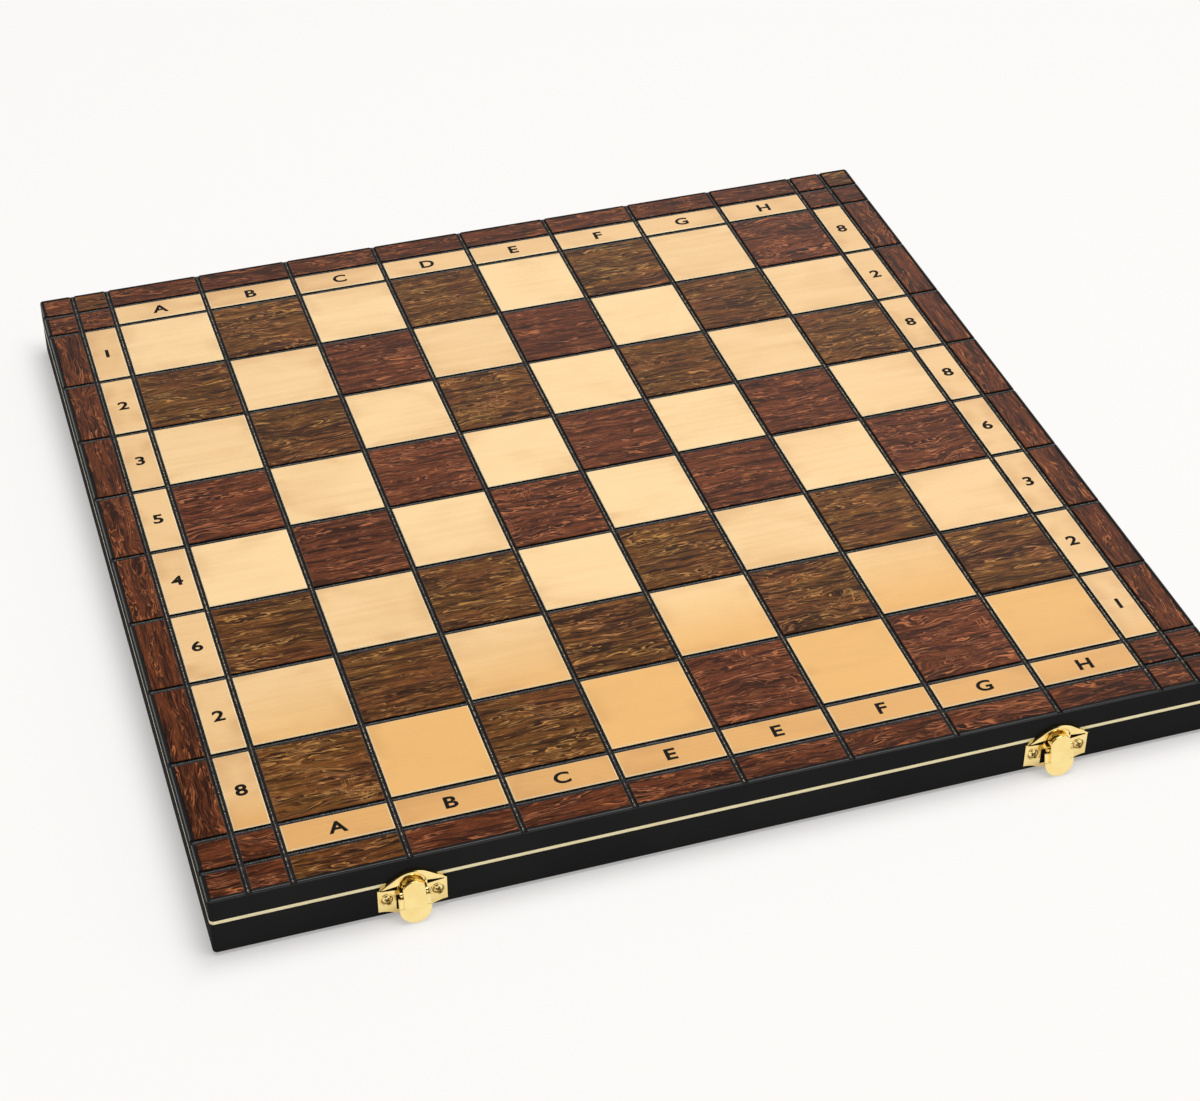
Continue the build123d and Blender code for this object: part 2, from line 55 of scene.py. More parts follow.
class Tone:
    """A number, vector or colour in a material. Arithmetic on it adds the nodes that work it out."""

    def __init__(self, tree, socket):
        self.tree = tree
        self.socket = socket

    def node(self, kind, values=(), out=0, **settings):
        """Any node: its settings first, then the values or links of its sockets."""
        made = self.tree.nodes.new(kind)
        for name, value in settings.items():
            setattr(made, name, value)
        for name, value in dict(values).items():
            socket = made.inputs[name]
            if isinstance(value, Tone):
                self.tree.links.new(value.socket, socket)
            elif socket.type == "RGBA":
                socket.default_value = (*value, 1)
            else:
                socket.default_value = value
        return Tone(self.tree, made.outputs[out])

    def math(self, operation, *others):
        return self.node("ShaderNodeMath", dict(enumerate((self, *others))), operation=operation)

    def __add__(self, other):
        return self.math("ADD", other)

    def __sub__(self, other):
        return self.math("SUBTRACT", other)

    def __rsub__(self, other):
        return self * -1 + other

    def __mul__(self, other):
        return self.math("MULTIPLY", other)

    __radd__ = __add__
    __rmul__ = __mul__

    def axes(self):
        """The three numbers of a vector."""
        parts = self.node("ShaderNodeSeparateXYZ", {0: self})
        return [Tone(self.tree, socket) for socket in parts.socket.node.outputs]

    def vector(self, y, z):
        """A vector whose first number is this one."""
        return self.node("ShaderNodeCombineXYZ", {0: self, 1: y, 2: z})

    def step(self, low, high):
        """0 below low, 1 above high, a smooth rise between."""
        return self.node("ShaderNodeMapRange", {0: self, 1: low, 2: high}, interpolation_type="SMOOTHSTEP")

    def mix(self, low, high):
        """Colour between low, where this is 0, and high, where it is 1."""
        return self.node("ShaderNodeMix", {0: self, 6: low, 7: high}, out=2, data_type="RGBA")

    def noise(self, scale, detail=2.0, roughness=0.5, distortion=0.0):
        """Cloudy noise on this vector, about 0.25 to 0.75."""
        return self.node("ShaderNodeTexNoise", {"Vector": self, "Scale": scale, "Detail": detail,
                                                "Roughness": roughness, "Distortion": distortion})

    def draw(self):
        """A number from 0 to 1, drawn at random for each value of this vector."""
        return self.node("ShaderNodeTexWhiteNoise", {0: self}, noise_dimensions="3D")

    def bump(self, strength, depth):
        """Surface direction for this height, with depth in metres."""
        return self.node("ShaderNodeBump", {"Strength": strength, "Distance": depth, "Height": self})


class Finish:
    """A material with its object coordinates and its shader's sockets."""

    def __init__(self, name, **fixed):
        self.material = bpy.data.materials.new(name)
        self.material.use_nodes = True
        tree = self.material.node_tree
        self.shader = tree.nodes["Principled BSDF"]
        for socket, value in fixed.items():
            self.shader.inputs[socket.replace("_", " ")].default_value = value
        start = Tone(tree, None)
        self.place = start.node("ShaderNodeTexCoord", out="Object")
        self.map = start.node("ShaderNodeTexCoord", out="UV")
        self.x, self.y, self.z = self.place.axes()

    def feed(self, **tones):
        """Link or set the shader's sockets by name."""
        for socket, tone in tones.items():
            target = self.shader.inputs[socket.replace("_", " ")]
            if isinstance(tone, Tone):
                tone.tree.links.new(tone.socket, target)
            else:
                target.default_value = tone
        return self.material


def wear(nodes, material):
    """CAD pieces take a material."""
    for node in nodes:
        cad[node].data.materials.clear()
        cad[node].data.materials.append(material)


lacquer = Finish("black_lacquer", Specular_IOR_Level=0.0, Coat_Roughness=0.16)
mist = lacquer.place.noise(900, 3)
cloud = lacquer.place.noise(18, 2)
inward = (half_width - lacquer.x.math("ABSOLUTE")).math("MINIMUM", lacquer.y - near_face).math(
    "MINIMUM", far_face - lacquer.y)
eased = 0.0011
arris = (1 - inward.step(0.0002, eased)) * lacquer.z.step(top - eased - 0.0001, top - 0.0005)
wear(["near_front_rail", "near_left_rail", "near_right_rail", "near_fold_rail",
      "far_back_rail", "far_left_rail", "far_right_rail", "far_fold_rail"],
     lacquer.feed(Base_Color=cloud.step(0.35, 0.7).mix((0.0150, 0.0152, 0.0156), (0.0186, 0.0186, 0.0184)),
                  Roughness=cloud * 0.14 + mist * 0.06 + 0.30, Coat_Weight=arris * 0.85 + 0.05,
                  Normal=(mist + cloud * 0.5).bump(0.08, 0.0002)))

# Loose tongues across the mitres and dowels in the fold rails: planed and turned beech, left bare and
# glued into the rails.
beech = Finish("bare_beech", Roughness=0.6)
fleck = (beech.x * 900).vector(beech.y * 900, beech.z * 160).noise(1, 3)
wear([side + "_" + joint for side in ("near", "far") for joint in ("corner_tongues", "fold_dowels")],
     beech.feed(Base_Color=fleck.step(0.4, 0.65).mix((0.62, 0.43, 0.28), (0.47, 0.29, 0.17)),
                Normal=fleck.bump(0.3, 0.0002)))

# Panels: birch plywood let into the rails. Plies show at the edge along the fold, and the upper face is
# stained black before the veneer goes on.
plywood = Finish("birch_plywood", Roughness=0.62)
ply_thick = 0.001
veneer_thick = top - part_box("near_panel")[1].z
depth = (plywood.z - top) * (1 / ply_thick)
ply = depth.math("FLOOR")
turned = (ply * 0.5).math("FRACT").math("GREATER_THAN", 0.25)
grain = (plywood.x * (turned * 500 + 30)).vector(plywood.y * (530 - turned * 500), ply * 7.1).noise(1, 3)
glue_line = depth.math("FRACT").math("LESS_THAN", 0.12)
wood = grain.step(0.35, 0.7).mix((0.66, 0.49, 0.31), (0.50, 0.34, 0.19))
wood = (glue_line * 0.6).mix(wood, (0.20, 0.11, 0.06))
stained = plywood.z.math("GREATER_THAN", top - veneer_thick - 0.0002)
wear(["near_panel", "far_panel"],
     plywood.feed(Base_Color=stained.mix(wood, (0.008, 0.008, 0.008)), Normal=grain.bump(0.2, 0.0002)))

# Inlaid line round the three outer faces: a strip of pale maple, glued into its groove and lacquered
# flush with the black.
pale = Finish("pale_line", Roughness=0.3, Coat_Weight=0.2)
thread = (pale.x * 60).vector(pale.y * 60, pale.z * 2500).noise(1, 3)
wear(["near_inlaid_line", "far_inlaid_line"],
     pale.feed(Base_Color=thread.step(0.35, 0.7).mix((1.0, 0.90, 0.56), (0.96, 0.80, 0.44))))

# Grooves between the tiles: milled through the veneer after it is glued, stained black and lacquered over
# their rough floor, with a low knurled bead along the middle. Those along the files are cut last and run
# through; those along the ranks stop at them. All run out over the frame in shallow notches.
pitch = 0.05
field = 4 * pitch
label_pitch = 0.019
label_line = field + label_pitch
lines = [number * pitch for number in range(5)] + [label_line]
edge_line = half_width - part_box("near_border_tiles")[1].x
groove = 0.003
floor_step = 0.0009
bead_rise = 0.00075
grit = 0.0001
notch_depth = 0.00077
notch_bead = 0.00036
chance = np.random.default_rng(7)


def rough(shape):
    """Random heights from -1 to 1, smoothed by a running mean of three along the first axis."""
    heights = chance.uniform(-1, 1, shape)
    return (np.roll(heights, 1, 0) + heights + np.roll(heights, -1, 0)) / 3


def groove_floor(start, end, line, along_y, left=-1.0, right=1.0):
    """Floor of one groove. Its height across is a bead, the square of a cosine over the middle six tenths,
    with roughness added. Over the frame it lifts to the shallower notch. left and right are the share of
    the width that it covers. The map gives the place across and along, with 10 added on the ranks."""
    steps = max(2, int(abs(end - start) / floor_step))
    along, across = np.meshgrid(np.linspace(start, end, steps), np.linspace(left, right, 11),
                                indexing="ij")
    bead = np.cos(np.clip(across / 0.62, -1, 1) * pi / 2) ** 2
    height = top - veneer_thick + 0.00005 + bead_rise * bead
    height = height + grit * rough(along.shape) * (0.3 + bead)
    inward = np.minimum(along - near_face, far_face - along) if along_y else half_width - np.abs(along)
    lift = np.clip((edge_line + 0.0003 - inward) / 0.0004, 0, 1)
    height = height * (1 - lift) + (top - notch_depth + notch_bead * bead) * lift
    away = line + across * groove / 2
    points = (away, along, height) if along_y else (along, away, height)
    return np.stack(points, -1), np.stack([(across + 1) / 2, along + (0 if along_y else 10)], -1)


def grid_mesh(name, sheets):
    """One mesh of several grids of points, faces turned up, with the second array as its UV map."""
    verts, faces, spots, first = [], [], [], 0
    for points, spot in sheets:
        rows, columns = points.shape[:2]
        index = np.arange(rows * columns).reshape(rows, columns) + first
        quads = np.stack([index[:-1, :-1], index[1:, :-1], index[1:, 1:], index[:-1, 1:]], -1)
        quads = quads.reshape(-1, 4)
        a, b, c = (points.reshape(-1, 3)[quads[0, k] - first] for k in (0, 1, 2))
        if np.cross(b - a, c - a)[2] < 0:
            quads = quads[:, ::-1]
        verts.append(points.reshape(-1, 3))
        spots.append(spot.reshape(-1, 2))
        faces.append(quads)
        first += rows * columns
    mesh = bpy.data.meshes.new(name)
    verts, faces, spots = np.concatenate(verts), np.concatenate(faces), np.concatenate(spots)
    mesh.from_pydata(verts.tolist(), [], faces.tolist())
    layer = mesh.uv_layers.new(name="map")
    layer.data.foreach_set("uv", spots[faces.reshape(-1)].astype(np.float32).reshape(-1))
    mesh.polygons.foreach_set("use_smooth", np.ones(len(faces), bool))
    mesh.update()
    return mesh


def piece(name, mesh, material, body):
    """A new object in the scene that rides on a body."""
    made = bpy.data.objects.new(name, mesh)
    bpy.context.scene.collection.objects.link(made)
    mesh.materials.clear()
    mesh.materials.append(material)
    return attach(made, body)


char = Finish("groove_char", Specular_IOR_Level=0.35)
across, along, _ = char.map.axes()
on_ranks = along.math("GREATER_THAN", 5)
crumb = char.place.noise(1500, 3, 0.6)
crest = 1 - ((across - 0.5).math("ABSOLUTE") * 4.4).step(0.25, 1.0)
ridge = 1 - ((across - 0.5).math("ABSOLUTE") * 9).step(0.3, 1.0)
knobs_per_metre = 900
beat = along * knobs_per_metre + char.place.noise(300, 2) * 1.6
knob = 1 - (beat.math("FRACT") - 0.5).math("ABSOLUTE").step(0.14, 0.32)
size = beat.math("FLOOR").vector(on_ranks, 0.0).draw()
glint_patches = char.place.noise(22, 2).step(0.40, 0.60)
# Painted glints: bright specks on the knobs of the bead, gold on the files and bluish grey on the ranks;
# the knobs are also raised in the bump.
glint = ridge * knob * size.step(0.2, 0.9) * (glint_patches * 0.7 + 0.3)
ash = crumb.step(0.42, 0.66) * crest
glint_colour = on_ranks.mix((0.95, 0.72, 0.42), (0.34, 0.40, 0.44))
tint = (ash * 0.85).mix((0.0070, 0.0076, 0.0086), (0.115, 0.102, 0.088))
char.feed(Base_Color=(glint * (1 - on_ranks * 0.3)).mix(tint, glint_colour), Roughness=crumb * 0.4 + 0.2,
          Normal=(crumb + glint).bump(0.6, 0.0003))
run_out = 0.0009
for side, face, turn in (("near", near_face + run_out, -1), ("far", far_face - run_out, 1)):
    floors = [groove_floor(fold, face, x, True) for line in lines for x in ({line, -line})]
    file_lines = sorted(set(lines) | {-line for line in lines})
    spans = [(-half_width + run_out, file_lines[0] - groove / 2)]
    spans += [(a + groove / 2, b - groove / 2) for a, b in zip(file_lines, file_lines[1:])]
    spans += [(file_lines[-1] + groove / 2, half_width - run_out)]
    for line in lines:
        reach = (-1.0, 1.0) if line else ((-1.0, 0.0) if turn < 0 else (0.0, 1.0))
        floors += [groove_floor(a, b, fold + turn * line, False, *reach) for a, b in spans]
    piece(side + "_groove_floors", grid_mesh(side + "_groove_floors", floors), char.material,
          side + "_half")


# Veneer tiles: maple for the light squares and the label strips, dark burl for the dark squares and the
# border, each cut with eased edges and lacquered.
def tile_places(finish):
    """Number of the tile across and along the board, with 20 added in the border, and the distance in from
    its nearest groove."""
    numbers, rims = [], []
    for value in (finish.x, finish.y - fold):
        size = value.math("ABSOLUTE")
        outer = size.math("GREATER_THAN", label_line)
        numbers.append((value * (1 / pitch)).math("FLOOR") + outer * 20)
        share = (value * (1 / pitch)).math("FRACT")
        square = share.math("MINIMUM", 1 - share) * pitch
        strip = (size - field).math("ABSOLUTE").math("MINIMUM", (size - label_line).math("ABSOLUTE"))
        beyond = size.math("GREATER_THAN", field)
        rims.append(square * (1 - beyond) + strip * beyond - groove / 2)
    return numbers, rims[0].math("MINIMUM", rims[1])


def luck(numbers, seed):
    """A number from 0 to 1 that differs from tile to tile."""
    return numbers[0].vector(numbers[1], seed).draw()


def cut_edge(finish, rim, colour, lit, share):
    """A painted highlight: a thin bright line of the colour lit along the eased cut edges; the walls of the
    grooves are black.
    """
    edge_highlight = (1 - rim.step(0.00036, 0.0006)) * finish.z.math("GREATER_THAN", top - 0.0004)
    wall = finish.z.math("LESS_THAN", top - 0.00037)
    return wall.mix((edge_highlight * share).mix(colour, lit), (0.006, 0.006, 0.006))


def maple(name, pale, deeper, golden, scorch, slant, low, high):
    """Maple veneer: nearly plain, with faint streaks along X and soft clouds that differ from tile to tile.
    It turns from golden near the clasps to pale between low and high, on a line that slants across the
    board; the paler far side is painted sheen. Far off it is deeper towards the right, which is painted
    shade, and on some tiles at random. It is browner in places where the groove was cut, by the share
    scorch."""
    finish = Finish(name, Specular_IOR_Level=0.35, Coat_Weight=0.1, Coat_Roughness=0.12)
    numbers, rim = tile_places(finish)
    own = luck(numbers, 0.0)
    shift = own * 40
    streak = (finish.x * 14 + shift).vector(finish.y * 420, shift).noise(1, 3, 0.5, 0.3)
    cloud = (finish.x * 22 + shift).vector(finish.y * 34 + shift, 0.0).noise(1, 2, 0.5, 0.8)
    fleck = (finish.x * 300).vector(finish.y * 1500, shift).noise(1, 2)
    far_sheen = (finish.y - fold + finish.x * slant).step(low, high)
    ground = far_sheen.mix(golden, pale)
    # Deeper towards the right: painted shade; deeper on some tiles at random.
    deep = (own.step(0.5, 1.0) * 0.5).math("MAXIMUM", finish.x.step(0.06, 0.20) * 0.7)
    ground = (deep * far_sheen).mix(ground, deeper)
    shade = streak * 0.5 + cloud * 0.6 + own * 0.2 + fleck * 0.1
    colour = (shade.step(0.52, 1.05) * 0.45).mix(ground, (0.70, 0.40, 0.15))
    burn = (1 - rim.step(0.0004, 0.010)) * cloud.step(0.45, 0.66)
    colour = (burn * scorch).mix(colour, (0.55, 0.27, 0.10))
    # The lit colour here is the painted highlight on the eased cut edges.
    return finish.feed(Base_Color=cut_edge(finish, rim, colour, (1.0, 0.88, 0.58), 0.6),
                       Roughness=streak * 0.14 + 0.20,
                       Normal=(streak * 0.6 + fleck * 0.4).bump(0.05, 0.0002))


wear(["near_light_squares", "far_light_squares"],
     maple("maple_veneer", (0.975, 0.685, 0.355), (0.88, 0.585, 0.290), (0.845, 0.480, 0.165), 0.22,
           -0.06, -0.155, -0.085))
wear(["near_label_tiles", "far_label_tiles"],
     maple("label_veneer", (0.885, 0.580, 0.280), (0.86, 0.560, 0.270), (0.770, 0.420, 0.145), 0.35,
           0.02, -0.205, -0.170))


def burl(name, at_border, seed, tint):
    """Dark burl veneer. The grain runs along X, and along Y in the border strips at the sides. It is bent
    by a slow noise. Fine fibres and dark veins follow it, and copper strokes, which are thin level lines of
    a noise stretched along the grain, each with a dark line of painted shadow beside it. Tiles differ in
    tone, from red brown to golden, by a draw from seed, and in their strokes; the golden tone comes only in
    the two outer ranks, where the men stand, as a painted reflection of the men. tint multiplies the
    colour."""
    finish = Finish(name, Specular_IOR_Level=0.16, Coat_Weight=0.04, Coat_Roughness=0.12)
    numbers, rim = tile_places(finish)
    own = luck(numbers, 3.0)
    shift = own * 60
    length, width = finish.x, finish.y
    if at_border:
        side = (finish.x.math("ABSOLUTE").math("GREATER_THAN", label_line)
                * (finish.y - fold).math("ABSOLUTE").math("LESS_THAN", field))
        length = finish.x * (1 - side) + finish.y * side
        width = finish.y * (1 - side) + finish.x * side
    bend = (length * 30 + shift).vector(width * 60, shift).noise(1, 2, 0.5, 0.4)
    width = width + bend * (own * 0.008 + 0.006)
    fibre = (length * 60 + shift).vector(width * 1150, shift).noise(1, 4, 0.65)
    band = (length * 24 + shift).vector(width * 290, shift).noise(1, 3, 0.6)
    lit = (fibre * 0.55 + band * 0.45).step(0.40, 0.60)
    vein = (length * 34 + shift).vector(width * 260, shift).noise(1, 3, 0.55, 0.5)
    veins = 1 - ((vein * 9).math("FRACT") - 0.5).math("ABSOLUTE").step(0.04, 0.16)
    swell = ((length * 20 + shift).vector(width * 150, shift).noise(1, 3, 0.6, 0.5) * 11).math("FRACT")
    keep = (length * 44 + shift).vector(width * 210, shift).noise(1, 2) + own * 0.08
    strokes = swell.step(0.55, 0.84) * (1 - swell.step(0.86, 0.93)) * keep.step(0.52, 0.64)
    # Painted shadow: a dark line beside each copper stroke.
    stroke_shadows = (swell.step(0.90, 0.96) + 1 - swell.step(0.06, 0.26)) * keep.step(0.46, 0.60)
    curl = ((length * 80 + shift).vector(width * 150, shift).noise(1, 2, 0.5, 0.9) * 9).math("FRACT")
    hooks = curl.step(0.70, 0.88) * (1 - curl.step(0.91, 0.98)) * own.step(0.45, 0.8)
    rare = (length * 60).vector(width * 90, shift).noise(1, 2)
    dash = (length * 150 + shift).vector(width * 800, shift).noise(1, 1).step(0.62, 0.72)
    patch = (length * 26 + shift).vector(width * 44, shift).noise(1, 2)
    golden = luck(numbers, seed).step(*((0.87, 0.93) if at_border else (0.2, 0.5)))
    # Golden tone only in the two outer ranks, where the men stand: a painted reflection of the men.
    reflected_men_rows = (finish.y - fold).math("ABSOLUTE").step(pitch - 0.005, pitch + 0.005)
    golden = golden * reflected_men_rows * (patch.step(0.3, 0.6) * 0.5 + 0.5)
    red = lit.mix((0.030, 0.0075, 0.0026), (0.180, 0.048, 0.0165))
    olive = lit.mix((0.026, 0.0095, 0.0022), (0.205, 0.080, 0.0155))
    dark = (veins * 0.40).math("MAXIMUM", patch.step(0.52, 0.74) * 0.45).math("MAXIMUM", stroke_shadows * 0.75)
    colour = dark.mix(golden.mix(red, olive), (0.020, 0.0055, 0.0025))
    bright = strokes.math("MAXIMUM", hooks * rare.step(0.56, 0.66) * 0.9).math("MAXIMUM", dash * 0.4)
    copper = golden.mix((0.52, 0.175, 0.066), (0.56, 0.280, 0.075))
    colour = (bright * 0.85).mix(colour, copper)
    colour = colour.node("ShaderNodeVectorMath", {0: colour, 1: tint}, operation="MULTIPLY")
    # The lit colour here is the painted highlight on the eased cut edges.
    return finish.feed(Base_Color=cut_edge(finish, rim, colour, (0.20, 0.075, 0.040), 0.2),
                       Roughness=fibre * 0.18 + 0.18,
                       Normal=(bright + fibre * 0.6).bump(0.2, 0.00035))


wear(["near_dark_squares", "far_dark_squares"], burl("burl_squares", False, 1332024.0, (1.0, 0.97, 0.92)))
wear(["near_border_tiles", "far_border_tiles"], burl("burl_border", True, 1743550.0, (0.87, 0.80, 0.64)))

# Letters and numbers: screen printed in black ink on the label strips, all read from the near side.
ink = Finish("black_ink", Roughness=0.5, Specular_IOR_Level=0.1)
speck = ink.place.noise(2200, 2)
ink.feed(Base_Color=speck.step(0.4, 0.7).mix((0.002, 0.002, 0.002), (0.007, 0.006, 0.005)))
label_middle = field + label_pitch / 2
letter_height = 0.0072
letter_spread = 1.16
letter_weight = 0.030
ink_thick = 0.00003
centres = [(n - 3.5) * pitch for n in range(8)]
near_row = [(x, -label_middle, mark) for x, mark in zip(centres, "ABCEEFGH")]
far_row = [(x, label_middle, mark) for x, mark in zip(centres, "ABCDEFGH")]
left_column = [(-label_middle, y, mark) for y, mark in zip(centres, "82645321")]
right_column = [(label_middle, y, mark) for y, mark in zip(centres, "12368828")]


def print_marks(name, marks, body):
    """Type set flat, widened, thickened by its outline and laid on the veneer as one mesh."""
    shapes = []
    for x, y, mark in marks:
        letter = bpy.data.curves.new(name, "FONT")
        letter.body = mark
        letter.align_x, letter.align_y = "CENTER", "CENTER"
        letter.size = 1.0
        letter.offset = letter_weight
        letter.resolution_u = 6
        made = bpy.data.objects.new(name, letter)
        flat = bpy.data.meshes.new_from_object(made)
        bpy.data.objects.remove(made)
        points = np.zeros(len(flat.vertices) * 3)
        flat.vertices.foreach_get("co", points)
        points = points.reshape(-1, 3)
        low, high = points.min(0), points.max(0)
        scale = letter_height / (high[1] - low[1])
        points = (points - (low + high) / 2) * (scale * letter_spread, scale, 0)
        points += (x, fold + y, top + ink_thick)
        shapes.append((points, [list(face.vertices) for face in flat.polygons]))
    verts, faces, first = [], [], 0
    for points, polygons in shapes:
        verts += points.tolist()
        faces += [[first + k for k in polygon] for polygon in polygons]
        first += len(points)
    mesh = bpy.data.meshes.new(name)
    mesh.from_pydata(verts, [], faces)
    mesh.update()
    return piece(name, mesh, ink.material, body)


marks = near_row + far_row + left_column + right_column
print_marks("near_print", [mark for mark in marks if mark[1] < 0], "near_half")
print_marks("far_print", [mark for mark in marks if mark[1] > 0], "far_half")

# Lining of the trays: dark red felt, cut to the tray and glued to the underside of the panel.
felt = Finish("lining_felt", Roughness=0.95, Sheen_Weight=0.5, Sheen_Roughness=0.5)
nap = felt.place.noise(1400, 4, 0.7)
blot = felt.place.noise(35, 3)
pile = (nap * 0.7 + blot * 0.5).step(0.4, 0.85)
felt.feed(Base_Color=pile.mix((0.055, 0.006, 0.008), (0.14, 0.018, 0.02)), Normal=nap.bump(0.7, 0.0008))


def felt_sheet(node):
    """Closed sheet in the space of its solid. Its thickness grows inwards from the cut edge as one less an
    exponential of the distance, less a gentle wave, the sum of two sines that bend each other."""
    low, high = (np.array(corner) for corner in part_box(node))
    wide, deep, thick = high - low
    u, v = np.meshgrid(np.linspace(0, 1, 91), np.linspace(0, 1, 47), indexing="ij")
    rim = np.minimum(np.minimum(u, 1 - u) * wide, np.minimum(v, 1 - v) * deep)
    body = 1 - np.exp(-rim / 0.0012)
    wave = np.sin(u * 31 + 2 * np.sin(v * 9)) + np.sin(v * 23 + 1.3 * np.sin(u * 17))
    x, y = low[0] + u * wide, low[1] + v * deep
    under = high[2] - thick * (0.35 + 0.6 * body - 0.08 * (0.5 + 0.25 * wave))
    back = np.full_like(under, high[2] - 0.00002)
    rows, columns = u.shape
    index = np.arange(rows * columns).reshape(rows, columns)
    lower = np.stack([index[:-1, :-1], index[:-1, 1:], index[1:, 1:], index[1:, :-1]], -1)
    lower = lower.reshape(-1, 4)
    upper = lower[:, ::-1] + rows * columns
    ring = np.concatenate([index[:, 0], index[-1, 1:], index[-2::-1, -1], index[0, -2::-1]])
    walls = np.stack([ring[:-1], ring[1:], ring[1:] + rows * columns, ring[:-1] + rows * columns], -1)
    points = np.concatenate([np.stack([x, y, z], -1).reshape(-1, 3) for z in (under, back)])
    mesh = bpy.data.meshes.new(node)
    mesh.from_pydata(points.tolist(), [], np.concatenate([lower, upper, walls]).tolist())
    mesh.polygons.foreach_set("use_smooth", np.ones(len(mesh.polygons), bool))
    mesh.update()
    return mesh, (wide, deep)


for side in ("near", "far"):
    mesh, size = felt_sheet(side + "_lining")
    cloth = piece(side + "_lining_felt", mesh, felt.material, side + "_half")
    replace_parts(cloth, side + "_lining")


# Butt hinges in the rims of the fold rails: pressed brass leaves rolled round a brass pin, each leaf held
# by three countersunk screws with cross recesses.
def metal(name, light, deep, shine, painted_shade=None):
    """Polished and lightly tarnished metal: clouds of tarnish and fine rubbing marks. The mask, if given,
    works out from the finish where painted shade darkens the metal, in hollows and creases."""
    finish = Finish(name, Metallic=1.0)
    cloud = finish.place.noise(160, 3)
    rub = (finish.x * 900).vector(finish.y * 900, finish.z * 5200).noise(1, 3)
    colour = (cloud * 0.9 + rub * 0.1).step(0.35, 0.7).mix(light, deep)
    # Painted shade: the mask darkens the metal towards deep brown.
    if painted_shade:
        colour = (painted_shade(finish) * 0.85).mix(colour, (0.060, 0.030, 0.008))
    return finish.feed(Base_Color=colour, Roughness=cloud * 0.08 + rub * 0.04 + shine,
                       Normal=(rub * 0.5 + cloud).bump(0.03, 0.0002))


hinge_brass = metal("hinge_brass", (0.80, 0.58, 0.25), (0.64, 0.42, 0.16), 0.20)
# The cross slots of the screw heads are darkened by painted shade.
screw_brass = metal("screw_brass", (1.0, 0.80, 0.36), (0.96, 0.72, 0.28), 0.06,
                    lambda finish: finish.map.axes()[0])
wear([side + "_" + hand + "_hinge_leaf" for side in ("near", "far") for hand in ("left", "right")]
     + ["left_hinge_pin", "right_hinge_pin"], hinge_brass)


def screw(head, crown, seat, sink, shank, length, turn):
    """Closed surface of one screw about Z, its face up and the face of the wood at z = 0. The head is a
    square grid whose outer lines are pulled out to a round rim. Its height is a dome, crown * (1 - r^2),
    less a cross of two slots that rise towards their ends. Below the rim at z = seat come the cone, sink
    deep, the shank and the point. The map gives the share of the slots."""
    half = np.array([0.08, 0.17, 0.23, 0.32, 0.42, 0.52, 0.62, 0.72, 0.82, 0.91, 1.0])
    lines = np.concatenate([-half[::-1], [0], half])
    u, v = np.meshgrid(lines, lines, indexing="ij")
    wide, narrow = np.maximum(abs(u), abs(v)), np.minimum(abs(u), abs(v))
    pull = 1 + np.clip((wide - 0.62) / 0.38, 0, 1) * (wide / np.maximum(np.hypot(u, v), 1e-9) - 1)
    slot = np.clip((0.23 - narrow) / 0.06, 0, 1) * np.clip((0.62 - wide) / 0.10, 0, 1)
    z = seat + crown * (1 - (u * u + v * v) * pull ** 2) - slot * head * (0.50 - 0.55 * wide)
    grid = np.arange(u.size).reshape(u.shape)
    edge = np.concatenate([grid[:-1, 0], grid[-1, :-1], grid[:0:-1, -1], grid[0, :0:-1]])
    points = np.stack([u * pull * head, v * pull * head, z], -1).reshape(-1, 3)
    quads = np.stack([grid[:-1, :-1], grid[1:, :-1], grid[1:, 1:], grid[:-1, 1:]], -1)
    quads = quads.reshape(-1, 4).tolist()
    rim = points[edge] / head
    for radius, depth in ((shank, seat - sink), (shank, shank - length), (0.1 * shank, -length)):
        ring = np.arange(len(edge)) + len(points)
        points = np.concatenate([points, rim * (radius, radius, 0) + (0, 0, depth)])
        quads += np.stack([edge, ring, np.roll(ring, -1), np.roll(edge, -1)], -1).tolist()
        edge = ring
    shares = np.concatenate([slot.ravel(), np.zeros(len(points) - u.size)])
    spin = np.array([[np.cos(turn), np.sin(turn), 0], [-np.sin(turn), np.cos(turn), 0], [0, 0, 1]])
    return points @ spin, quads + [edge[::-1].tolist()], shares


def drive(name, node, places, out, sizes, body):
    """Screws at these places as one piece, facing along out, each turned by its own amount. sizes are the
    first six of screw."""
    out = np.array(out, float)
    axes = np.stack([np.array([1.0, 0, 0]), np.cross(out, (1.0, 0, 0)), out])
    verts, faces, shares, first = [], [], [], 0
    for place in places:
        points, polygons, share = screw(*sizes, chance.uniform(0, pi / 2))
        verts.append(points @ axes + place)
        faces += [[first + k for k in polygon] for polygon in polygons]
        shares.append(share)
        first += len(points)
    mesh = bpy.data.meshes.new(name)
    mesh.from_pydata(np.concatenate(verts).tolist(), [], faces)
    mesh.update()
    corners = np.concatenate(shares)[np.concatenate(faces)]
    layer = mesh.uv_layers.new(name="UVMap")
    layer.data.foreach_set("uv", np.stack([corners, corners * 0], -1).ravel())
    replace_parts(piece(name, mesh, screw_brass, body), node)


hinge_x = (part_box("right_hinge_pin")[0].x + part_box("right_hinge_pin")[1].x) / 2
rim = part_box("near_front_rail")[0].z
spread = 0.010
inset = 0.005
stagger = 0.002
for side, turn in (("near", -1), ("far", 1)):
    places = [(hand * hinge_x + n * spread, fold + turn * (inset + stagger * abs(n)), rim)
              for hand in (-1, 1) for n in (-1, 0, 1)]
    drive(side + "_leaf_screws", side + "_hinge_screws", places, (0, 0, -1),
          (0.0021, 0.0, 0.0, 0.00105, 0.00105, 0.009), side + "_half")

